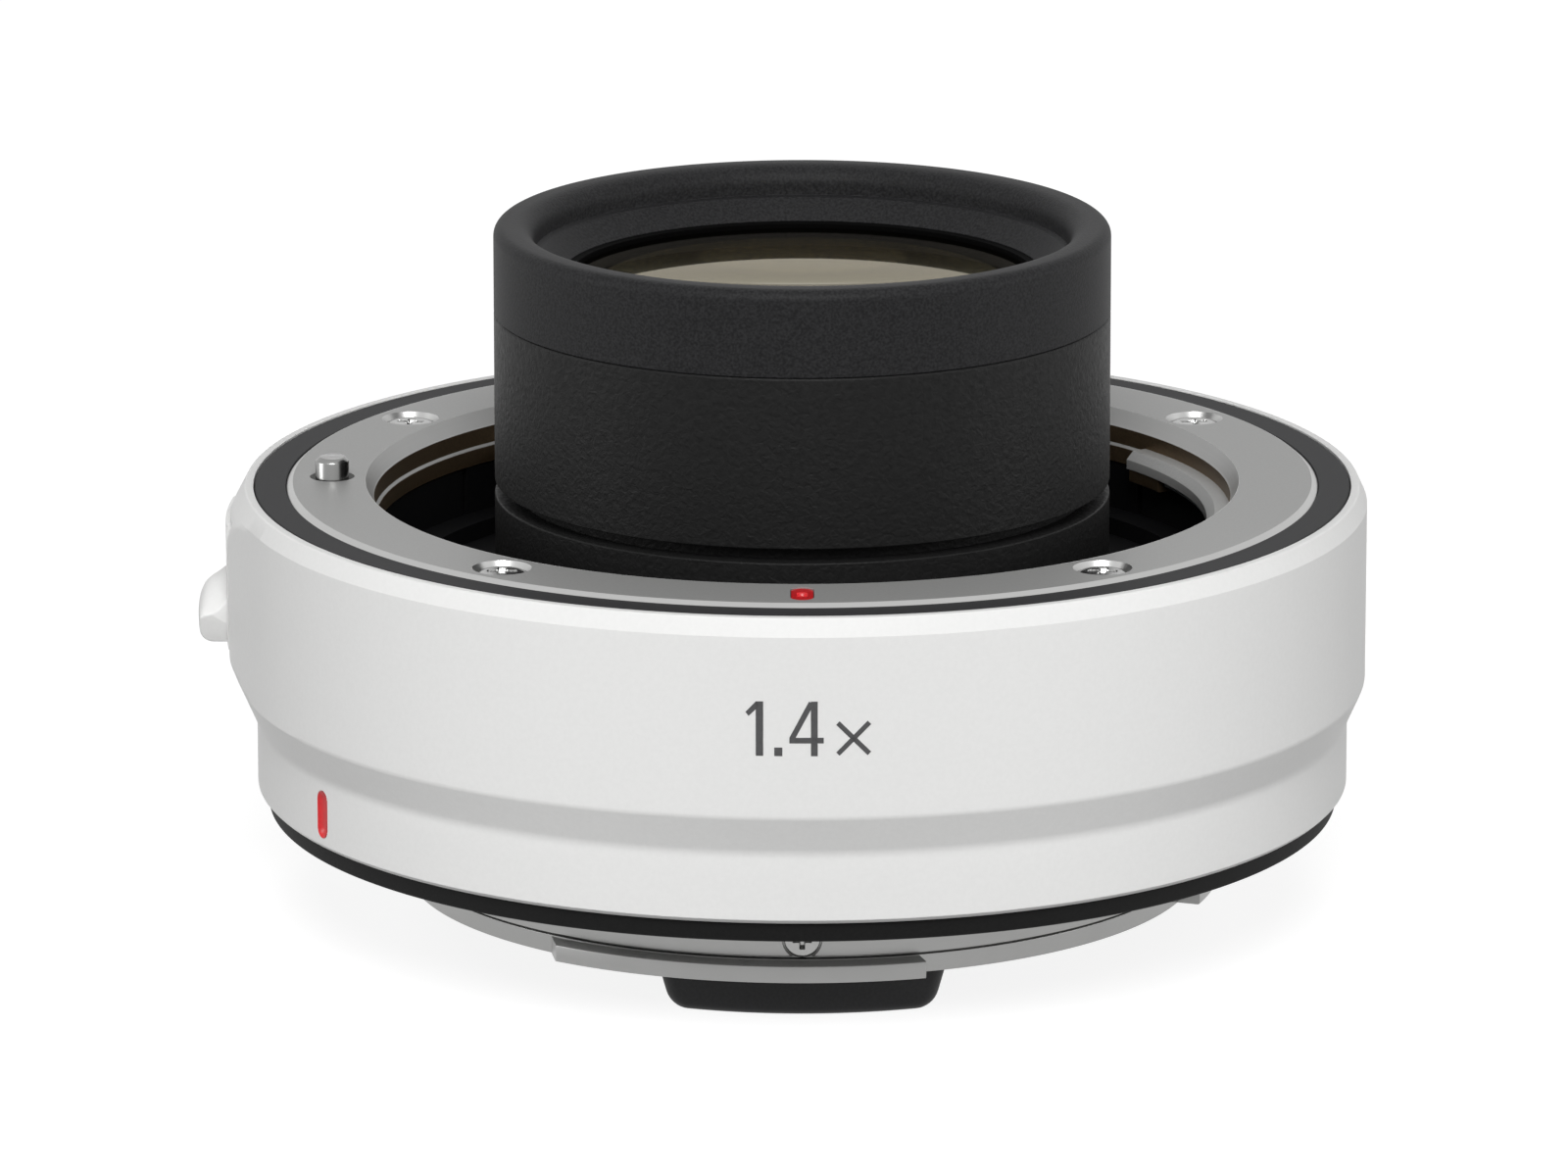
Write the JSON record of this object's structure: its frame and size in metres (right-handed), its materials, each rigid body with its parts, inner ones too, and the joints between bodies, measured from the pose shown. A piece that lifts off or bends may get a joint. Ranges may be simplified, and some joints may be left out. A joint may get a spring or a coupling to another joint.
{
  "type": "camera teleconverter",
  "caption": "White camera teleconverter with a protruding black lens barrel, a female bayonet with lock pin and release lever at the front and a male bayonet at the rear.",
  "frame": {"origin": "on the optical axis in the rear mount's seating face", "axes": "+Z along the optical axis towards the front lens; -Y towards the index mark and the contacts; the release lever is on -X"},
  "size_m": [0.0735, 0.071, 0.045],
  "materials": {
    "white_paint": "satin",
    "grey_trim": "satin",
    "satin_mount_metal": "satin",
    "bright_steel": "polished",
    "black_barrel_paint": "matte",
    "black_anodised": "matte",
    "black_plastic": "matte",
    "black_rubber": "matte",
    "coated_glass": "polished",
    "gold_contact": "polished",
    "board_green": "satin",
    "chip_black": "matte",
    "red_resin": "gloss",
    "spring_steel": "satin",
    "brass_bush": "satin",
    "flex_amber": "satin",
    "connector_ivory": "matte"
  },
  "bodies": {
    "body": {"outer_housing": "white_paint", "front_trim_ring": "grey_trim", "rear_index_mark": "red_resin", "rear_seal_ring": "black_rubber", "front_mount": "satin_mount_metal", "front_mount_screws": "bright_steel", "front_index_mark": "red_resin", "bayonet_springs": "spring_steel", "main_frame": "black_anodised", "inner_shield": "black_plastic", "pin_guide_bush": "brass_bush", "lock_spring": "spring_steel", "hood_ring": "black_barrel_paint", "front_retainer": "black_anodised", "lens_barrel": "black_barrel_paint", "barrel_collar": "black_barrel_paint", "barrel_lock_ring": "black_anodised", "lens_1": "coated_glass", "lens_2": "coated_glass", "lens_3": "coated_glass", "lens_4": "coated_glass", "lens_5": "coated_glass", "lens_6": "coated_glass", "lens_7": "coated_glass", "lens_spacer": "black_anodised", "rear_lens_cell": "black_anodised", "rear_retainer": "black_anodised", "front_contact_block": "black_plastic", "contact_springs": "spring_steel", "front_block_screws": "bright_steel", "circuit_board": "board_green", "board_screws": "bright_steel", "control_chips": "chip_black", "board_connector": "connector_ivory", "rear_flex": "flex_amber", "rear_mount": "satin_mount_metal", "rear_mount_screws": "bright_steel", "rear_baffle": "black_plastic", "baffle_screws": "bright_steel", "rear_contact_block": "black_plastic", "rear_contact_pads": "gold_contact", "block_screw": "bright_steel"},
    "lock": {"lock_pin": "bright_steel", "lock_slide_plate": "spring_steel", "release_lever": "white_paint", "lever_screws": "bright_steel"},
    "contacts": {"front_contact_pins": "gold_contact"}
  },
  "joints": [
    {"name": "release_travel", "type": "slide", "parent": "body", "child": "lock", "axis": [0, 0, -1], "range_m": [0, 0.0015], "stiffness_N_per_m": 900, "springref_m": -0.001, "deforming": ["lock_spring"]},
    {"name": "contact_press", "type": "slide", "parent": "body", "child": "contacts", "axis": [0, 0, -1], "range_m": [0, 0.0005], "stiffness_N_per_m": 600, "springref_m": -0.0003, "deforming": ["contact_springs"]}
  ]
}
